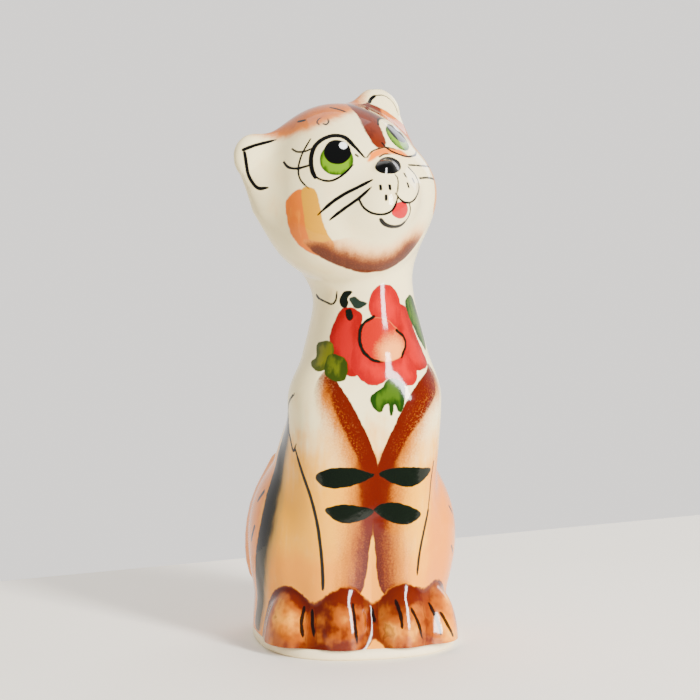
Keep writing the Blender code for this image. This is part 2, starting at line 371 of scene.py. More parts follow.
normals = slope / np.linalg.norm(slope, axis=1)[:, None]

# Every face goes to the casting, paw or tail whose clay lies nearest under it.
NOT_NEAR = 50.0
middles = np.array([points[face].mean(axis=0) for face in faces])
owners = ["body", "head", *PAWS, "tail"]
low = middles[:, 2] < LIMB_TOP - 4.0
depths = np.full((len(owners), len(faces)), NOT_NEAR)
below_neck = middles[:, 2] < NECK_JOINT
depths[0, below_neck] = 0.0
depths[1, ~below_neck] = 0.0
depths[0, low] = cat_form(middles[low])
for number, depth in enumerate([*paw_distances(middles[low]), tail_distance(middles[low])], 2):
    depths[number, low] = depth
owner_of_face = depths.argmin(axis=0)


# ---------------------------------------------------------------------------------------------
# The painting. Underglaze colours go on with a soft brush, a stroke for each petal, leaf and
# hair. Every stroke here is a few marks on one of three canvases, laid on the form, and each
# layer of paint is how far a spot of clay lies from the nearest stroke of that colour.
# ---------------------------------------------------------------------------------------------

HEAD_ROUND = 18.0
BODY_ROUND = 20.0
DEEPEST = 45.0
FAR = 5.0
LONG_FADES = {"leg_edges": 11.0, "chin_edge": 10.0, "flank_edge": 10.0, "heart_glow": 6.0}


def head_canvas(points):
    """Millimetres round to the head's left and up from its middle, on a ball of HEAD_ROUND."""
    on_head = in_head(points)
    reach = np.linalg.norm(on_head, axis=1)
    around = HEAD_ROUND * np.arctan2(on_head[:, 0], -on_head[:, 1])
    return np.column_stack([around, HEAD_ROUND * np.arcsin(on_head[:, 2] / reach)])


def body_canvas(points):
    """Millimetres round to the body's left from its front, and height."""
    around = BODY_ROUND * np.arctan2(points[:, 0], -points[:, 1])
    return np.column_stack([around, points[:, 2]])


def ear_canvas(points):
    """The front of the ears seen flat, in the head's own axes."""
    return in_head(points)[:, (0, 2)]


def lay_on(canvas, marks):
    """Points of the form under these canvas marks."""
    across, height = np.array(marks).T
    zero, one = np.zeros(len(marks)), np.ones(len(marks))
    start = np.column_stack([zero, zero, height])
    if canvas is body_canvas:
        turn = across / BODY_ROUND
        way = np.column_stack([np.sin(turn), -np.cos(turn), zero])
    elif canvas is head_canvas:
        turn, lift = across / HEAD_ROUND, height / HEAD_ROUND
        local = [np.sin(turn) * np.cos(lift), -np.cos(turn) * np.cos(lift), np.sin(lift)]
        way = np.column_stack(local) @ HEAD_AXES.T
        start = np.array(HEAD_PLACE) + 0 * way
    else:
        start = np.column_stack([across, one, height]) @ HEAD_AXES.T + np.array(HEAD_PLACE)
        way = np.column_stack([zero, -one, zero]) @ HEAD_AXES.T
    inner, outer = zero.copy(), DEEPEST * one
    for _ in range(26):
        middle = (inner + outer) / 2
        inside = whole_form(start + middle[:, None] * way) < 0
        inner, outer = np.where(inside, middle, inner), np.where(inside, outer, middle)
    return start + inner[:, None] * way


def span_distance(points, curve, widths):
    """Distance to a curve of varying half width."""
    best = np.full(len(points), np.inf)
    for a, b, wide_a, wide_b in zip(curve, curve[1:], widths, widths[1:]):
        span = b - a
        along = np.clip((points - a) @ span / max(span @ span, 1e-9), 0, 1)
        gap = np.linalg.norm(points - a - along[:, None] * span, axis=1)
        best = np.minimum(best, gap - wide_a - (wide_b - wide_a) * along)
    return best


def near_to(curve, points, reach):
    """Which points lie within reach of the curve's box."""
    low, high = curve.min(axis=0) - reach, curve.max(axis=0) + reach
    return np.flatnonzero(((points > low) & (points < high)).all(axis=1))


def line(canvas, marks, width=0.24, taper=(1.0, 0.5)):
    """One pull of a liner brush: width is its half width at the thickest."""
    marks = smooth_curve(marks, 6)
    curve = lay_on(canvas, marks)
    share = np.linspace(0, 1, len(curve))
    press = np.minimum(1, taper[0] + 4 * share) * np.minimum(1, taper[1] + 4 * (1 - share))
    return curve, width * press, None


def patch(canvas, marks):
    """A filled shape with this smooth outline."""
    outline = smooth_curve(marks, 7, closed=True)
    outline = np.vstack([outline, outline[:1]])
    return lay_on(canvas, outline), np.zeros(len(outline)), (canvas, outline)


def disc(canvas, centre, radius):
    """A round spot, widened on the head so that it stays round there."""
    turns = np.linspace(0, 2 * np.pi, 9)[:-1]
    stretch = 1 / np.cos(centre[1] / HEAD_ROUND) if canvas is head_canvas else 1.0
    marks = [
        (centre[0] + radius * stretch * np.cos(turn), centre[1] + radius * np.sin(turn))
        for turn in turns
    ]
    return patch(canvas, marks)


def covered(shapes, points, reach):
    """How far each point lies outside the nearest of the shapes, below zero inside it."""
    field = np.full(len(points), reach)
    for curve, widths, fill in shapes:
        near = near_to(curve, points, reach)
        if not len(near):
            continue
        distance = span_distance(points[near], curve, widths)
        if fill:
            canvas, outline = fill
            spot = canvas(points[near])
            inside = np.zeros(len(near), bool)
            for (x1, y1), (x2, y2) in zip(outline, outline[1:]):
                if y1 == y2:
                    continue
                crossing = (spot[:, 1] > min(y1, y2)) & (spot[:, 1] <= max(y1, y2))
                inside ^= crossing & (spot[:, 0] < x1 + (x2 - x1) * (spot[:, 1] - y1) / (y2 - y1))
            distance = np.where(inside, -distance, distance)
        field[near] = np.minimum(field[near], distance)
    return field


head, body, ear = head_canvas, body_canvas, ear_canvas
layers = {}

# Face: soft orange and brown patches first.
layers["brow"] = [patch(head, [
    (3, 7.2), (3.3, 10.8), (5.6, 14.8), (9.5, 18.6), (16, 20.5), (24, 18), (27, 13), (25.6, 10.6),
    (20.4, 10.8), (16, 12.3), (12.4, 12.5), (9.8, 11.4), (8.3, 9.4), (7.2, 7.4), (5.6, 6),
    (4.2, 6.3),
])]
layers["ear_inner"] = [patch(ear, [
    (14, 17.7), (15.2, 18.8), (17, 20), (20, 21), (23, 20), (25, 15), (25, 10), (22, 10),
    (20, 11.2), (18, 13.6), (16, 15.6),
])]
layers["cheek"] = [patch(head, [
    (-22.3, 2.2), (-21, 3.6), (-18.8, 4.3), (-16.6, 3.6), (-15.2, 2.2), (-15.6, -0.4), (-16.1, -3),
    (-16.5, -6.6), (-16.8, -9.4), (-19.6, -10.4), (-21.5, -9), (-22.8, -6.3), (-23.2, -3.4),
])]
layers["cheek_yellow"] = [patch(head, [
    (-17.6, 4.1), (-15, 3), (-15, -0.4), (-15.6, -3), (-16, -6.6), (-16.2, -9.4), (-18.6, -10.6),
    (-20.6, -9.6), (-19.8, -4.8), (-18.7, -0.8),
])]
layers["side_band"] = [patch(head, [
    (17.4, 4.2), (18.4, 1), (18, -2.2), (17.6, -6), (17.4, -9.6), (20, -11), (24, -8), (26, -2),
    (25, 4), (21, 6.6),
])]
layers["side_patch"] = [patch(head, [(19, 9), (22, 4), (27, 3), (32, 8), (30, 14), (24, 13)])]
layers["chin"] = [patch(head, [
    (-21.4, -5.5), (-17.6, -7.6), (-12, -9.5), (-4, -11.5), (6, -11.5), (13, -9.6), (18.5, -9),
    (16.6, -14), (10.4, -18.9), (5.3, -20.9), (-3.1, -21.9), (-10.5, -20.7), (-16, -18.3),
    (-19.8, -12.8),
])]
layers["chin_edge"] = [line(head, [
    (-20.6, -10.3), (-19.8, -12.7), (-18.3, -15.6), (-15.8, -18.2), (-10.5, -20.6), (-3.1, -21.8),
    (5.3, -20.9), (9, -19.3),
], 0.3)]
layers["tongue"] = [patch(head, [
    (0.1, -5.7), (1.8, -6.5), (2.2, -8), (1.4, -9.2), (-0.4, -8.9), (-1.9, -7.4), (-0.9, -6.2),
])]
layers["nose"] = [patch(head, [
    (-0.2, 2.7), (2.6, 3.9), (5.4, 3.5), (7.2, 1.8), (6.2, 0.2), (3.1, -0.5), (0.5, 0.2),
    (-0.6, 1.4),
])]
layers["bridge"] = [line(head, [
    (-0.8, 4.4), (1.9, 5.4), (5.2, 5.2), (8.9, 3.8), (11.7, 1.9),
], 0.8, (0.3, 0.3))]

# Eyes: a green iris, a pupil that looks up and a white spot, part bare dot and part painted highlight.
layers["iris"] = [disc(head, (-7.8, 7.5), 3.75), disc(head, (12.6, 7.0), 3.5)]
layers["pupil"] = [disc(head, (-6.8, 9.1), 3.0), disc(head, (13.9, 8.1), 2.7)]
layers["white_spot_and_painted_highlight"] = [disc(head, (-4.7, 10.0), 0.9), disc(head, (16.4, 9), 0.9)]
layers["eyelid"] = [
    line(head, [
        (-14, 5.4), (-14.1, 7.4), (-13.4, 10), (-11.6, 12.2), (-8.8, 13.2), (-5.6, 13.1),
        (-3.2, 11.8), (-2.3, 9.4), (-1.3, 5.6),
    ], 0.56, (0.8, 0.4)),
    line(head, [
        (9.5, 11.6), (12.4, 12.8), (16, 12.4), (19, 10.8), (20.6, 8.4), (20.8, 6), (18.4, 3.6),
    ], 0.24),
]

# Ink: thin black hairs, whiskers, mouth and outlines.
layers["ink"] = [
    line(head, [(-14.2, 6.2), (-13.4, 4.9), (-11.9, 3.7), (-10.2, 3.3), (-7.7, 3.7), (-4.6, 5)], 0.28),
    line(head, [(5.6, 7.2), (6, 5.6), (7.7, 3.9), (10.8, 2.3), (14.4, 1.9), (17.4, 2.8)], 0.26),
    line(head, [(-18.1, 13.5), (-16.7, 12.4), (-14.5, 11.8), (-12.2, 12)], 0.26),
    line(head, [(-20.9, 11.2), (-19.7, 9.7), (-17.5, 8.7), (-13.8, 8.3)], 0.32),
    line(head, [(-12.2, 14.3), (-15.3, 11.6), (-17.1, 8.8), (-17.4, 6.1), (-16, 3.4)], 0.24),
    line(head, [(-0.8, 5.3), (1.2, 6.2), (3.4, 6.3), (6, 5.9), (8.6, 4.6)], 0.18),
    line(head, [(2.4, 4.4), (4.2, 4.6), (6.2, 4)], 0.18),
    line(head, [(-3, 6.9), (-2.6, 6.2)], 0.26),
    line(head, [(2.8, -0.7), (2.6, -1.6), (1.6, -2.8), (0.3, -4.2)], 0.2),
    line(head, [
        (9.2, -0.2), (10.1, -2.4), (9.4, -4.7), (6.2, -6.1), (3.6, -6.7), (1.5, -6.2), (0.5, -5.2),
        (0, -3.9),
    ], 0.28),
    line(head, [
        (-7, -2.8), (-6.8, -4.5), (-5.7, -6), (-3.8, -6.9), (-2.1, -6.9), (-1, -6.2), (0.4, -4.6),
    ], 0.3),
    line(head, [(2.8, -7.0), (3.1, -8.4), (2.6, -9.8), (1.2, -10.7)], 0.24),
    line(head, [
        (-4.4, -7.7), (-3.7, -9.1), (-1.8, -10.4), (0.6, -10.9), (2.2, -10.2),
    ], 0.5, (0.7, 0.5)),
    line(head, [(-2.6, 0), (-6, -0.3), (-9.1, -0.5), (-12.5, -1.1), (-16.2, -2.3)], 0.42, (0.6, 0.3)),
    line(head, [(-3.6, -1.3), (-7, -2.5), (-10.4, -3.3), (-14.4, -4.2)], 0.38, (0.4, 0.5)),
    line(head, [(9.9, 0.3), (14.7, -0.8), (19.6, -1.4)], 0.24),
    line(head, [(11.4, -3.2), (14.8, -3.5), (19, -4.1)], 0.26),
    line(head, [(-17, 21), (-14.8, 20.6), (-13, 20.4)], 0.42, (0.2, 1.0)),
    line(head, [(-8, 17.3), (-8.2, 18.3), (-7, 19), (-5.6, 19.2)], 0.2),
    line(head, [(-6.5, 17.1), (-5.7, 16.6), (-4.5, 17.1), (-3.8, 18.1)], 0.24),
    line(head, [(3.2, 21.6), (4.2, 19.6), (4.7, 18)], 0.34),
    line(ear, [(-20.2, 17.7), (-18, 17.7), (-15.6, 17.5), (-12.4, 17.1)], 0.42),
    line(ear, [(-20.3, 17), (-21, 14.2), (-21.2, 11.4), (-20.7, 8.6), (-19.2, 7.7)], 0.42),
    line(ear, [(14.4, 17.6), (15.4, 18.2), (16.8, 18.6)], 0.44),
    line(ear, [(16.8, 18.6), (19, 17.8), (20.5, 15.6), (20.8, 12.4)], 0.16),
    line(body, [(-16.7, 81.9), (-15.6, 81.4)], 0.42),
    line(body, [(-15.6, 81.4), (-12.3, 80.9), (-10.1, 80.6), (-8.9, 81.6), (-8.6, 83.6)], 0.26),
    line(body, [
        (-17.8, 60.1), (-20, 57.9), (-21.2, 55.6), (-20.6, 54.4), (-21, 52), (-19.5, 49.9),
        (-18, 47.1), (-16.9, 48.8),
    ], 0.36),
    line(body, [
        (-17.2, 47.6), (-15.3, 43), (-13.1, 37.4), (-11.7, 31.7), (-10.9, 25.8), (-10.5, 20.5),
        (-10.4, 16),
    ], 0.42, (0.6, 0.8)),
    line(body, [(15, 44), (14, 39.6), (13.6, 36.6), (12.8, 32.7)], 0.26),
    line(body, [(12.9, 33), (11.1, 27.1), (10.2, 22.5), (9.8, 18.4)], 0.36),
    line(body, [(24, 31.6), (25.6, 29.6)], 0.34),
    line(body, [(22.6, 22.6), (24.4, 20.6)], 0.34),
    line(body, [(-29.6, 35.6), (-31.6, 33)], 0.55),
    line(body, [(-30.2, 27.4), (-32, 23.6)], 0.5),
    line(body, [(-29.2, 9.8), (-31.2, 8.6)], 0.45),
]
WHISKER_DOTS = [(-2.1, -2.1), (-0.4, -2.7), (-2.1, -4.2), (5.5, -1.6), (7.4, -3.2), (4.1, -3.6)]
layers["ink"] += [
    line(head, [(x + 0.2, y + 0.4), (x, y), (x - 0.2, y - 0.4)], 0.36) for x, y in WHISKER_DOTS
]
TOE_LINES = [
    [(-14.5, 11.5), (-14.4, 8.4), (-13.8, 5)],
    [(-12.7, 11), (-12.4, 8.2), (-11.8, 5.2)],
    [(-4.3, 12.8), (-3.9, 8.4), (-3.5, 4)],
    [(-0.2, 11.4), (0.5, 8.2)],
    [(4.7, 13.2), (5.1, 10), (5.2, 7.1)],
    [(7.3, 11.4), (8.4, 8), (9.1, 4.4)],
    [(12.2, 11.6), (12.6, 8.2), (12.8, 4.6)],
    [(13.6, 9.4), (14.4, 6.4), (15.4, 3.7)],
]
layers["toes"] = [line(body, toe, 0.42, (0.6, 0.5)) for toe in TOE_LINES]

# Chest: forelegs in rust brown washed outward from a bare white V, crossed by dark leaves.
V_LEFT = [(-8.6, 65), (-8.1, 64), (-5.5, 60.1), (-2.8, 54.8), (-0.5, 49.5), (1.1, 44)]
V_RIGHT = [(16, 66), (14, 64.8), (10.8, 63), (7.8, 59.6), (5, 54), (2.6, 48.2), (1.2, 44)]
layers["forelegs"] = [
    patch(body, [
        *V_LEFT, (0.6, 38), (0.1, 30), (-0.7, 24.3), (-1.5, 18), (-3.4, 14), (-8.8, 14),
        (-9.8, 22), (-10.9, 34), (-11.9, 46), (-12.5, 56), (-12.4, 63), (-10.6, 66),
    ]),
    patch(body, [
        *V_RIGHT, (0.5, 38), (0.2, 30), (0.8, 24.3), (1.4, 18), (3.2, 14), (8.6, 14), (9.8, 22),
        (12.4, 33), (15.4, 42), (18, 52), (18.8, 60),
    ]),
]
layers["leg_edges"] = [
    line(body, [*V_LEFT[1:], (0.8, 38), (0.2, 30), (-0.7, 24.3), (-1.5, 18), (-2.4, 14.6)], 0.3),
    line(body, [*V_RIGHT[1:], (0.9, 38), (0.3, 30), (0.9, 24.3), (1.5, 18), (2.4, 14.6)], 0.3),
]
layers["inner_stroke"] = [
    patch(body, [
        (-8.2, 63), (-5.5, 60), (-2.8, 54.7), (-0.5, 49.4), (1, 44), (-1.8, 43.4), (-4.6, 49),
        (-7, 54.3), (-8.8, 60),
    ]),
    patch(body, [
        (15, 64.4), (10.9, 62.8), (7.9, 59.4), (5.1, 53.8), (2.7, 48), (1.3, 44), (4, 43.4),
        (7.6, 50.4), (11.6, 55.6), (15.4, 60.6),
    ]),
]
layers["crotch"] = [patch(body, [
    (-3.4, 45), (0, 47.5), (1.2, 44.2), (2.4, 47.5), (5.4, 45), (4, 38), (2.6, 30), (0.6, 28),
    (-2, 30), (-3, 38),
])]
layers["stripes"] = [
    patch(body, [
        (-12, 41.9), (-10.6, 43.4), (-8.1, 44.1), (-4.4, 44), (-1.1, 42.9), (0.5, 42.2),
        (-2.2, 40.7), (-4.9, 39.8), (-8, 39.4), (-10.6, 40),
    ]),
    patch(body, [
        (1.4, 42.3), (3.5, 43.4), (6.7, 43.7), (10.1, 43.3), (13.9, 42.4), (11.9, 40.5), (9, 39.1),
        (6.7, 39.2), (4, 40.4),
    ]),
    patch(body, [
        (-10, 34.4), (-8.5, 35.3), (-6, 35.7), (-3.3, 35.2), (0.2, 34.1), (-1, 32.4), (-3.9, 31.4),
        (-6.5, 31.4), (-8.6, 32.6),
    ]),
    patch(body, [
        (0.4, 34.2), (2.4, 35.5), (5.1, 35.6), (7.8, 34.7), (10.6, 32.8), (9.8, 31.3), (7.2, 30.4),
        (4.6, 30.9), (2.1, 32.4),
    ]),
]

# Flower: wet petals round a peach heart, with olive, green and grey leaves.
layers["petals"] = [
    patch(body, [
        (-7.1, 79.9), (-8.8, 77.5), (-10.1, 74.6), (-10.3, 71.7), (-9.2, 68.9), (-7.7, 66.5),
        (-5.6, 64.9), (-3.6, 64.6), (-2.7, 66.3), (-2.6, 69.2), (-2.6, 72), (-2.8, 74.9),
        (-2, 77.2), (-2.3, 79), (-3.8, 79.9), (-5.4, 80.2),
    ]),
    patch(body, [
        (6.6, 80.8), (9.8, 79.6), (11.2, 76.9), (12.4, 73.9), (14, 70.9), (15.6, 67.6),
        (14.9, 65.8), (11.6, 65.2), (9.4, 66), (7.8, 68.6), (8, 70.9), (7, 73.8), (5.6, 75.4),
        (5.8, 78),
    ]),
]
layers["petals_over"] = [
    patch(body, [
        (-0.6, 80.7), (-0.1, 83), (1.8, 85), (4.5, 85.2), (6.8, 83.5), (7.9, 80.7), (7.6, 77.3),
        (5.8, 75.2), (2.8, 76), (1, 77.6), (-0.3, 79),
    ]),
    patch(body, [
        (-4.6, 69.6), (-4.4, 66), (-2.4, 63.9), (-0.5, 62.7), (1.8, 62.9), (3.7, 64), (5, 63.8),
        (6.9, 62.4), (9.4, 62.4), (10.9, 65), (9.8, 67.8), (8.2, 69.4), (5, 69), (1, 70),
        (-1.6, 71.6), (-2.8, 73),
    ]),
]
layers["heart"] = [patch(body, [
    (0.4, 77.9), (-1.8, 76.6), (-2.7, 73.8), (-2.1, 70.6), (0.2, 68.5), (3.5, 67.9), (6.9, 68.7),
    (8.4, 71.2), (8, 73.2), (6.2, 75.2), (3.6, 77.4),
])]
layers["heart_glow"] = [disc(body, (5.2, 70.4), 1.4)]
layers["heart_lines"] = [
    line(body, [(0.6, 78.1), (-1.9, 76.6), (-2.8, 73.8), (-2.1, 70.6), (0.2, 68.4), (2.7, 67.9)], 0.36),
    line(body, [(6.2, 74.8), (8.2, 73), (8.6, 71.2), (7.2, 68.5)], 0.34),
]
layers["leaves"] = [
    patch(body, [
        (-0.3, 60.5), (2.2, 62.2), (3.2, 63.8), (5.3, 64), (7, 62.5), (7.1, 60.2), (6.4, 56.7),
        (5.5, 56.6), (5, 58), (4.5, 58), (4.3, 55.8), (3.7, 55.8), (3.4, 58.2), (2.6, 58),
        (2, 56.6), (0.5, 57.2), (-0.6, 59),
    ]),
    patch(body, [
        (9.8, 81), (12.6, 82), (15, 80.4), (17.6, 76), (18.6, 71.5), (17, 69), (14, 71.8),
        (12.2, 74.6), (10.4, 78),
    ]),
]
layers["olive_leaves"] = [
    patch(body, [
        (-14.6, 71), (-12, 72.2), (-9.7, 72), (-9.1, 70.1), (-10, 67.2), (-11.7, 65.6),
        (-14.3, 66), (-15.5, 67.3), (-14.2, 68.6),
    ]),
]
layers["olive_over"] = [
    patch(body, [
        (-10.6, 68.9), (-8.5, 69.5), (-6.2, 68.6), (-5.5, 66.3), (-6, 64.2), (-7.3, 63.5),
        (-9.3, 64), (-11.1, 65.8),
    ]),
]
layers["dark_leaves"] = [
    patch(body, [
        (-7.9, 81.9), (-7.4, 80.2), (-6.1, 80), (-5.4, 81.1), (-5.6, 82.3), (-4.3, 83.7),
        (-6.4, 83.8),
    ]),
    patch(body, [(-6.1, 79.5), (-5.9, 77.8), (-4.9, 77.2), (-4.2, 78.2), (-4.8, 79.8)]),
]
layers["grey_leaves"] = [
    patch(body, [(-5.3, 82), (-4.3, 80.5), (-2.9, 79.9), (-0.8, 81.1), (-2.6, 81.9), (-4.1, 82.7)]),
]

# Flanks: one broad stroke of black thinned to olive and tan down each side, brush held flat.
FLANK_EDGE = [(-23.6, 55), (-26.8, 47), (-27.8, 38), (-27.4, 29), (-29.6, 19), (-32, 11), (-33, 4)]
LEFT_FLANK_SHIFT = 10.0
FLANK_FADE = [(-28, 3.4), (-23.6, 10), (-20, 20), (-17.8, 30), (-17.6, 40), (-19, 48), (-20.6, 53)]


def beside(marks, side):
    """Flank marks on the right side, or mirrored to the left where side is -1."""
    shift = 0.0 if side > 0 else LEFT_FLANK_SHIFT
    return [(side * across + shift, height) for across, height in marks]


layers["flank"] = [patch(body, beside(FLANK_EDGE + FLANK_FADE, side)) for side in (1, -1)]
layers["flank_edge"] = [line(body, beside(FLANK_EDGE, side), 0.4) for side in (1, -1)]

# Strokes of one colour share a layer. Every spot of clay then gets its distance to each layer.
BLACKS = ("pupil", "nose", "eyelid", "ink")
DARKS = ("dark_leaves", "stripes", "heart_lines")
layers["black"] = [shape for name in BLACKS for shape in layers.pop(name)]
layers["dark"] = [shape for name in DARKS for shape in layers.pop(name)]
fields = {
    name: covered(shapes, points, LONG_FADES.get(name, FAR)) for name, shapes in layers.items()
}


def ramp(value, low, high):
    """Rises smoothly from 0 where value is low to 1 where it is high."""
    share = np.clip((value - low) / (high - low), 0, 1)
    return share * share * (3 - 2 * share)


# Washes have no outline: each comes on over a span of heights, or round the head or body.
height = points[:, 2]
up_head = head_canvas(points)[:, 1]
around = body_canvas(points)[:, 0]
fields["crown"] = ramp(up_head, 14.6, 20) * ramp(height, 88, 92)
fields["wash"] = ramp(height, 64, 36)
fields["haunch"] = np.maximum(ramp(around, 9, 17), ramp(around, -24, -30)) * ramp(height, 50, 38)
fields["low_glow"] = ramp(height, 32, 18)
fields["paw"] = joined_paws(points)
fields["paw_rise"] = cat_form(points)
nearest = np.sort(paw_distances(points), axis=0)
fields["paw_gap"] = ramp(nearest[0] - nearest[1], -2.2, -0.2)


# ---------------------------------------------------------------------------------------------
# The glaze. One clear, very glossy coat over all the colours: warm cream clay shows where it is
# bare, thin colour pools darker at the edge of a stroke, and the brush leaves streaks in it.
# ---------------------------------------------------------------------------------------------


class Wire:
    """A shader socket or a constant, with arithmetic that adds Math nodes."""

    def __init__(self, tree, value):
        self.tree, self.value = tree, value

    def node(self, kind, settings=None, **sockets):
        made = self.tree.nodes.new("ShaderNode" + kind)
        for name, setting in (settings or {}).items():
            setattr(made, name, setting)
        for name, value in sockets.items():
            self.feed(made.inputs[name.replace("_", " ")], value)
        return made

    def feed(self, socket, value):
        if isinstance(value, Wire):
            value = value.value
        if isinstance(value, bpy.types.NodeSocket):
            self.tree.links.new(value, socket)
        else:
            socket.default_value = value

    def math(self, operation, *values, clamp=False):
        made = self.node("Math", {"operation": operation, "use_clamp": clamp})
        for socket, value in zip(made.inputs, values):
            self.feed(socket, value)
        return Wire(self.tree, made.outputs[0])

    def __add__(self, other):
        return self.math("ADD", self, other)

    def __sub__(self, other):
        return self.math("SUBTRACT", self, other)

    def __rsub__(self, other):
        return self.math("SUBTRACT", other, self)

    def __mul__(self, other):
        return self.math("MULTIPLY", self, other)

    def __neg__(self):
        return self.math("MULTIPLY", self, -1.0)

    __radd__, __rmul__ = __add__, __mul__

    def ramp(self, low, high):
        """Rises smoothly from 0 at low to 1 at high."""
        made = self.node("MapRange", {"interpolation_type": "SMOOTHSTEP"})
        for socket, value in zip(made.inputs, (self, low, high, 0.0, 1.0)):
            self.feed(socket, value)
        return Wire(self.tree, made.outputs[0])

    def mix(self, share, other):
        """This colour with a share of the other one laid over it."""
        made = self.node("Mix", {"data_type": "RGBA"})
        for number, value in ((0, share), (6, self), (7, other)):
            self.feed(made.inputs[number], value)
        return Wire(self.tree, made.outputs[2])


def paint(code):
    """A colour written as six hexadecimal digits, as linear light."""
    parts = [int(code[start:start + 2], 16) / 255 for start in (0, 2, 4)]
    return (*[part / 12.92 if part < 0.04 else ((part + 0.055) / 1.055) ** 2.4 for part in parts], 1.0)


def new_material(name):
    material = bpy.data.materials.new(name)
    material.use_nodes = True
    tree = material.node_tree
    tree.nodes.clear()
    return material, Wire(tree, None)


def noise(start, place, scale, detail=3.0, stretch=(1.0, 1.0, 1.0)):
    """Even noise about 0 with features about 1/scale metres across."""
    stretched = start.node("VectorMath", {"operation": "MULTIPLY"})
    start.feed(stretched.inputs[0], place)
    start.feed(stretched.inputs[1], stretch)
    made = start.node("TexNoise", Vector=stretched.outputs[0], Scale=scale, Detail=detail)
    return Wire(start.tree, made.outputs["Fac"]) - 0.5


def finish_surface(start, colour, roughness, bump_height, bump_reach):
    """Ends a material as a smooth, lightly reflecting surface, uneven by bump_reach metres."""
    bump = start.node("Bump", Strength=1.0, Distance=bump_reach, Height=bump_height)
    surface = start.node(
        "BsdfPrincipled", Base_Color=colour, Roughness=roughness, IOR=1.5, Specular_IOR_Level=0.3,
        Normal=bump.outputs[0],
    )
    output = start.node("OutputMaterial")
    start.tree.links.new(surface.outputs[0], output.inputs[0])


glaze, start = new_material("PaintedGlaze")
place = start.node("TexCoord").outputs["Object"]
streaks = noise(start, place, 900.0, 4.0, (1.0, 1.0, 0.22))
grain = noise(start, place, 2600.0, 2.0)
cloud = noise(start, place, 160.0, 3.0)
wobble = noise(start, place, 700.0, 2.0) * 0.5


def layer(name):
    return Wire(start.tree, start.node("Attribute", {"attribute_name": name}).outputs["Fac"])


def brushed(name, ragged=1.0):
    """Distance to the strokes of a layer, below 0 inside them, with a brush's uneven edge."""
    return layer(name) + wobble * ragged


def inside(edge, soft=0.12):
    """1 inside an edge and 0 outside it, changing over soft millimetres each way."""
    return (-edge).ramp(-soft, soft)


def stroke(name, soft=0.12, ragged=1.0):
    return inside(brushed(name, ragged), soft)


def coat_of(code):
    """A plain colour to start mixing from."""
    base = Wire(start.tree, start.node("RGB").outputs[0])
    base.value.default_value = paint(code)
    return base


colour = coat_of("FFEDB4").mix(cloud.ramp(-0.05, 0.3) * 0.5, paint("FCDC98"))

# Orange washed over the lower body and the haunches, thin at its upper edge.
wash = layer("wash") + streaks * 0.5 + cloud * 0.6
colour = colour.mix(wash.ramp(0.1, 1.0), paint("FFAE10"))
glow = layer("low_glow") + streaks * 0.4 + cloud * 0.8
colour = colour.mix(glow.ramp(0.2, 1.1) * 0.8, paint("F89400"))
haunch = layer("haunch") + cloud * 0.8 + streaks * 0.4
colour = colour.mix(haunch.ramp(0.1, 1.0), paint("F08600"))
crown = layer("crown") + streaks * 0.4 + cloud * 0.4
colour = colour.mix(crown.ramp(0.05, 0.8), paint("D87200"))
colour = colour.mix(crown.ramp(0.6, 1.3) * 0.8, paint("A04200"))

# Forelegs: darkest along the V, thin and peach towards the flank.
speckle = grain.ramp(-0.05, 0.25) * 0.5
edge = brushed("forelegs")
mask = inside(edge, 0.16)
depth = layer("leg_edges") + streaks * 2.5 + grain * 3.0
inner = (-edge).ramp(-0.1, 2.6)
colour = colour.mix(mask * inner * (1.0 - depth.ramp(3.5, 10.5)), paint("D07A00"))
colour = colour.mix(mask * (1.0 - depth.ramp(0.6, 7.6)), paint("7E3000"))
colour = colour.mix(mask * (1.0 - depth.ramp(-0.4, 4.4)) * (1.0 - speckle * 0.6), paint("480C00"))
mask = stroke("inner_stroke", 0.4)
colour = colour.mix(mask * (1.0 - speckle), paint("560E00"))
mask = stroke("crotch", 1.0, 3.0)
colour = colour.mix(mask * 0.9, paint("560E00"))

# Broad flank strokes run from black at the sharp edge through olive to tan.
mask = stroke("flank", 0.3, 1.6)
depth = layer("flank_edge") + streaks * 1.4
tone = coat_of("000000").mix(depth.ramp(2.2, 4.6), paint("28240E"))
tone = tone.mix(depth.ramp(3.8, 6.4), paint("A88850"))
colour = colour.mix(mask * (1.0 - depth.ramp(4.2, 8.0)), tone)

# Paws: orange below, rust on top, and darker brown along the valleys between them and at their edge
# against the body.
edge = brushed("paw", 0.8)
paw = (-edge).ramp(-0.75, -0.5)
colour = colour.mix(paw, paint("EE8600"))
colour = colour.mix(paw * cloud.ramp(-0.05, 0.2) * 0.8, paint("FFB030"))
rise = layer("paw_rise") + cloud * 9.0 + streaks * 1.2
colour = colour.mix(paw * (1.0 - rise.ramp(1.8, 4.2)) * 0.85, paint("923E00"))
colour = colour.mix(paw * (1.0 - rise.ramp(0.3, 1.9)), paint("5A1600"))
gap = layer("paw_gap") + cloud * 3.0 + streaks * 0.3
colour = colour.mix(paw * gap.ramp(0.45, 1.1) * 0.85, paint("782C00"))
colour = colour.mix(paw * (gap.ramp(0.42, 0.52) - gap.ramp(0.52, 0.8)) * 0.5, paint("4A0C00"))
colour = colour.mix(paw * (1.0 - (-edge).ramp(-0.4, 0.1)) * 0.7, paint("4A0C00"))

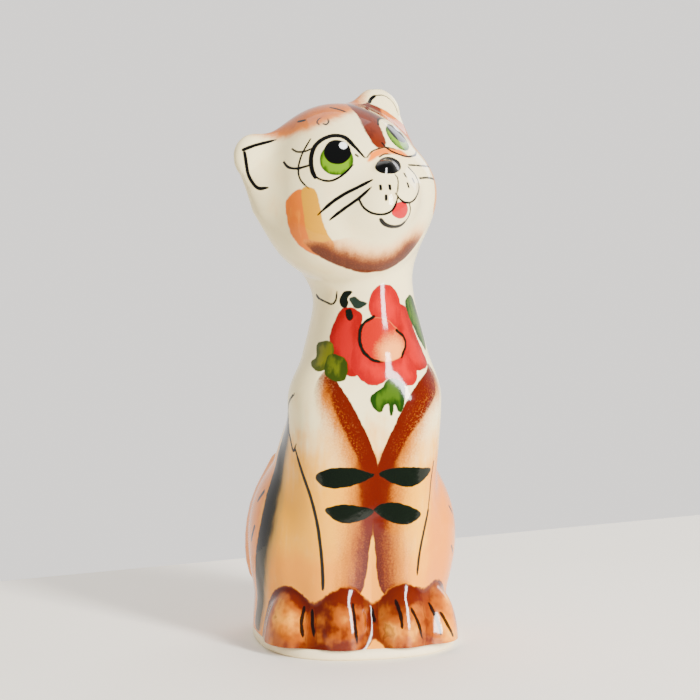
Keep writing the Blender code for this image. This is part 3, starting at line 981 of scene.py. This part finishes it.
# Face patches.
mask = stroke("brow", 0.25, 1.6)
colour = colour.mix(mask, paint("661E00"))
colour = colour.mix(mask * (streaks + cloud).ramp(-0.1, 0.3) * 0.8, paint("461000"))
mask = stroke("cheek", 0.22, 1.5)
colour = colour.mix(mask, paint("DA6A00"))
colour = colour.mix(mask * (cloud + streaks).ramp(0.0, 0.3) * 0.6, paint("F08A00"))
mask = stroke("cheek_yellow", 0.2, 0.8)
colour = colour.mix(mask, paint("D49200"))
colour = colour.mix(mask * cloud.ramp(0.0, 0.25) * 0.5, paint("C87A00"))
mask = stroke("side_patch", 0.4, 1.5)
colour = colour.mix(mask, paint("D06800"))
mask = stroke("side_band", 0.4, 1.5)
colour = colour.mix(mask, paint("E08A00"))
mask = stroke("ear_inner", 0.2, 0.6)
colour = colour.mix(mask, paint("FFEDB4"))
mask = stroke("chin", 0.3, 1.0)
depth = layer("chin_edge") + streaks * 1.2 + cloud * 3.0
colour = colour.mix(mask * (1.0 - depth.ramp(2.5, 9.0)) * 0.9, paint("EE9030"))
colour = colour.mix(mask * (1.0 - (depth + grain * 1.4).ramp(2.2, 6.0)), paint("76340C"))
colour = colour.mix(mask * (1.0 - depth.ramp(1.2, 4.4)) * (1.0 - speckle), paint("4E1E06"))
mask = stroke("bridge", 0.4)
colour = colour.mix(mask, paint("EE7808"))

# Flower and leaves.
for name, thin, thick in (("petals", "BE0A08", "900000"), ("petals_over", "CC100C", "A00004")):
    edge = brushed(name, 1.2)
    mask = inside(edge, 0.14)
    depth = -edge + streaks * 3.0 + cloud * 5.0
    colour = colour.mix(mask, paint(thick)).mix(mask * depth.ramp(0.4, 3.2) * 0.75, paint(thin))
mask = stroke("heart", 0.2)
depth = layer("heart_glow") + cloud * 4.0 + grain * 2.0
colour = colour.mix(mask, paint("FF9C48")).mix(mask * depth.ramp(0.0, 4.0), paint("B01000"))
for name, thin, thick in (
    ("olive_leaves", "6C6C14", "3E460A"), ("olive_over", "5C6410", "2A3804"),
    ("leaves", "42600C", "143400"), ("grey_leaves", "4C5846", "1C2A20"),
):
    edge = brushed(name, 1.2)
    mask = inside(edge, 0.14)
    depth = -edge + streaks * 4.0 + cloud * 6.0
    colour = colour.mix(mask, paint(thick)).mix(mask * depth.ramp(0.2, 2.2) * 0.85, paint(thin))
mask = stroke("dark", 0.12)
colour = colour.mix(mask, paint("060E04"))
mask = stroke("toes", 0.12)
colour = colour.mix(mask * 0.97, paint("0C0200"))

# Eyes, nose, tongue and ink.
edge = brushed("iris", 0.3)
mask = inside(edge)
colour = colour.mix(mask, paint("2E5200"))
colour = colour.mix(mask * (-edge + streaks * 2.0).ramp(0.2, 1.2) * 0.9, paint("6A9400"))
# The white spots in the pupils are partly bare dots of the painting and partly painted highlights.
for name, shade in (("tongue", "C00818"), ("black", "010100"), ("white_spot_and_painted_highlight", "FFFFFF")):
    mask = stroke(name, 0.12, 0.3)
    colour = colour.mix(mask, paint(shade))

roughness = 0.07 + cloud.ramp(-0.2, 0.3) * 0.05
height = cloud * 0.6 + noise(start, place, 60.0, 2.0) * 3.0 + grain * 0.02
finish_surface(start, colour, roughness, height, 0.00012)


# ---------------------------------------------------------------------------------------------
# The separate castings, pads and rolls, cut out of the one skin where they were stuck together.
# The ears were smoothed into the head, so they stay part of its piece.
# ---------------------------------------------------------------------------------------------


def show(name, points, faces, material, nodes, normals=None, values=None):
    """One piece of the cat, standing for these nodes. Its layers are kept as values of points."""
    mesh = bpy.data.meshes.new(name)
    mesh.from_pydata((points * MM).tolist(), [], faces)
    mesh.validate()
    mesh.shade_smooth()
    for layer_name, field in (values or {}).items():
        attribute = mesh.attributes.new(layer_name, "FLOAT", "POINT")
        attribute.data.foreach_set("value", field.astype(np.float32))
    if normals is not None:
        mesh.normals_split_custom_set_from_vertices(normals.tolist())
    mesh.materials.append(material)
    piece = bpy.data.objects.new(name, mesh)
    bpy.context.scene.collection.objects.link(piece)
    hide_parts(*nodes)
    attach(piece, "root")
    return piece


def open_loops(faces):
    """The loops of points where a piece was parted from its neighbours."""
    seen = {(a, b) for face in faces for a, b in zip(face, face[1:] + face[:1])}
    onward = {}
    for a, b in sorted(seen):
        if (b, a) not in seen:
            onward.setdefault(b, []).append(a)
    loops = []
    while onward:
        here, loop = min(onward), []
        while here in onward:
            if here in loop:
                loops.append(loop[loop.index(here):])
                loop = loop[:loop.index(here)]
            loop.append(here)
            step = onward[here].pop()
            if not onward[here]:
                del onward[here]
            here = step
        if loop:
            loops.append(loop)
    return [loop for loop in loops if len(loop) > 2]


DEEP = np.array([0.0, -2.0, 0.0])
LID_TAPER = (0.35, 0.35, 1.0)


def lidded(points, faces):
    """Points and faces with each open loop closed by a fan that meets deep in the clay."""
    tips = []
    for loop in open_loops(faces):
        tip = len(points) + len(tips)
        middle = points[loop].mean(axis=0)
        tips.append(DEEP + (middle - DEEP) * LID_TAPER)
        faces = faces + [[a, b, tip] for a, b in zip(loop, loop[1:] + loop[:1])]
    return np.vstack([points, tips]), faces


for number, name in enumerate(owners):
    chosen = [faces[index] for index in np.flatnonzero(owner_of_face == number)]
    used = sorted({index for face in chosen for index in face})
    renumber = {old: new for new, old in enumerate(used)}
    own_faces = [[renumber[index] for index in face] for face in chosen]
    own_points, own_faces = lidded(points[used], own_faces)
    tips = len(own_points) - len(used)
    own_normals = np.vstack([normals[used], np.tile((0.0, 0.0, 1.0), (tips, 1))])
    nodes = ["head", "right_ear", "left_ear"] if name == "head" else [name]
    own_values = {key: np.append(field[used], [FAR] * tips) for key, field in fields.items()}
    piece = show("painted_" + name, own_points, own_faces, glaze, nodes, own_normals, own_values)


# ---------------------------------------------------------------------------------------------
# The foot. A flat plate closes the casting. It is wiped clean of glaze so that it won't stick to
# the kiln shelf, so the bare biscuit shows as a pale, slightly matt rim with a vent underneath.
# ---------------------------------------------------------------------------------------------

# Heights and insets out over the top of the foot, down its rim and in under it to a recess.
RECESS = 0.5
FOOT_PROFILE = [
    (FOOT_TOP, 3.0), (FOOT_TOP, 0.0), (1.4, 0.0), (0.7, 0.08), (0.25, 0.35), (0.0, 0.8),
    (0.0, 2.6), (RECESS, 3.2),
]
VENT_CENTRE, VENT_RADIUS = (0.0, 9.0), 4.0
TURNS = 192
WIDEST = 40.0

bisque, start = new_material("BareBiscuit")
place = start.node("TexCoord").outputs["Object"]
cloud, grain = noise(start, place, 220.0, 4.0), noise(start, place, 3800.0, 3.0)
colour = coat_of("FBE9BC").mix(cloud.ramp(0.0, 0.3) * 0.6, paint("EED49A"))
colour = colour.mix(grain.ramp(0.1, 0.3) * 0.3, paint("CDAE78"))
finish_surface(start, colour, 0.42 + grain * 0.2, grain + cloud * 2.0, 0.00008)


turns = np.linspace(0, 2 * np.pi, TURNS, endpoint=False)
OUTWARD = np.column_stack([np.cos(turns), np.sin(turns), 0 * turns])


def rim(height, inset):
    """The outline of the foot at this height, drawn in by inset."""
    start = np.array([0, 0, height])
    inner, outer = np.zeros(TURNS), np.full(TURNS, WIDEST)
    for _ in range(24):
        middle = (inner + outer) / 2
        within = torso(start + middle[:, None] * OUTWARD) < 0
        inner, outer = np.where(within, middle, inner), np.where(within, outer, middle)
    return start + (inner - inset)[:, None] * OUTWARD


rings = [rim(height, inset) for height, inset in FOOT_PROFILE]
rings += [OUTWARD * VENT_RADIUS + (*VENT_CENTRE, height) for height in (RECESS, FOOT_TOP)]
foot_faces = []
for number in range(len(rings)):
    first = number * TURNS
    second = (number + 1) % len(rings) * TURNS
    for turn in range(TURNS):
        onward = (turn + 1) % TURNS
        foot_faces.append([second + turn, second + onward, first + onward, first + turn])
foot = show("bare_foot", np.vstack(rings), foot_faces, bisque, ["foot_plate"])


# ---------------------------------------------------------------------------------------------
# The set: a long narrow table in matt white, turned a little, under three soft lamps. The light
# all round is near white behind the cat and grey behind the camera.
# ---------------------------------------------------------------------------------------------

TABLE_SIZE = (1.5, 0.25, 0.03)
TABLE_TURN = math.radians(12.2)
TABLE_BACK = 0.094
TABLE_EDGE = 0.003
CAMERA_AZIMUTH, CAMERA_ELEVATION = math.radians(-12.0), math.radians(9.5)
CAMERA_DISTANCE = 0.9
CAMERA_LENS, CAMERA_SHIFT = 201.2, (-0.005, 0.0214)
AIM = Vector((0.0, 0.0, 0.064))
SURROUND_STRENGTH = 1.5

bm = bmesh.new()
bmesh.ops.create_cube(bm, size=1.0, matrix=Matrix.Diagonal((*TABLE_SIZE, 1.0)))
bmesh.ops.bevel(bm, geom=bm.edges[:], offset=TABLE_EDGE, segments=4, affect="EDGES", profile=0.5)
table_mesh = bpy.data.meshes.new("Table")
bm.to_mesh(table_mesh)
bm.free()
table = bpy.data.objects.new("Table", table_mesh)
middle = TABLE_BACK * math.cos(TABLE_TURN) - TABLE_SIZE[1] / 2
table.location = (-middle * math.sin(TABLE_TURN), middle * math.cos(TABLE_TURN), -TABLE_SIZE[2] / 2)
table.rotation_euler = (0.0, 0.0, TABLE_TURN)
bpy.context.scene.collection.objects.link(table)
table_paint, start = new_material("TablePaint")
place = start.node("TexCoord").outputs["Object"]
cloud = noise(start, place, 9.0, 5.0)
colour = coat_of("FAF4E8").mix(cloud.ramp(-0.1, 0.3) * 0.4, paint("EEE8DC"))
finish_surface(start, colour, 0.55 + cloud * 0.1, cloud, 0.0002)
table_mesh.materials.append(table_paint)

world = bpy.data.worlds.new("Backdrop")
world.use_nodes = True
start = Wire(world.node_tree, None)
towards = start.node("TexCoord").outputs["Generated"]
parts = start.node("SeparateXYZ", Vector=towards)
behind = Wire(world.node_tree, parts.outputs["Y"]).ramp(-0.35, 0.5)
light = coat_of("94969A").mix(behind, paint("F8F4F0"))
lit = world.node_tree.nodes["Background"]
world.node_tree.links.new(light.value, lit.inputs["Color"])
lit.inputs["Strength"].default_value = SURROUND_STRENGTH
bpy.context.scene.world = world


def softbox(name, place, size, power, colour=(1.0, 0.98, 0.95)):
    """A rectangular lamp turned towards the cat, its size in metres and its power in watts."""
    lamp = bpy.data.lights.new(name, "AREA")
    lamp.shape = "RECTANGLE"
    lamp.size, lamp.size_y = size
    lamp.energy = power
    lamp.color = colour
    lamp_object = bpy.data.objects.new(name, lamp)
    lamp_object.location = place
    lamp_object.rotation_euler = (AIM - Vector(place)).to_track_quat("-Z", "Y").to_euler()
    bpy.context.scene.collection.objects.link(lamp_object)


softbox("Window", (0.46, -0.76, 0.36), (0.16, 0.62), 29.0)
softbox("Ceiling", (0.1, 0.40, 1.2), (1.0, 0.8), 5.0)
softbox("BackWindow", (0.70, 0.66, 0.40), (0.40, 0.36), 2.5, (0.90, 0.92, 1.0))

camera = bpy.data.cameras.new("Camera")
camera.sensor_width = 36.0
camera.lens = CAMERA_LENS
camera.shift_x, camera.shift_y = CAMERA_SHIFT
eye = bpy.data.objects.new("Camera", camera)
direction = Vector((
    math.sin(CAMERA_AZIMUTH) * math.cos(CAMERA_ELEVATION),
    -math.cos(CAMERA_AZIMUTH) * math.cos(CAMERA_ELEVATION),
    math.sin(CAMERA_ELEVATION),
))
eye.location = AIM + CAMERA_DISTANCE * direction
eye.rotation_euler = (-direction).to_track_quat("-Z", "Y").to_euler()
bpy.context.scene.collection.objects.link(eye)
bpy.context.scene.camera = eye
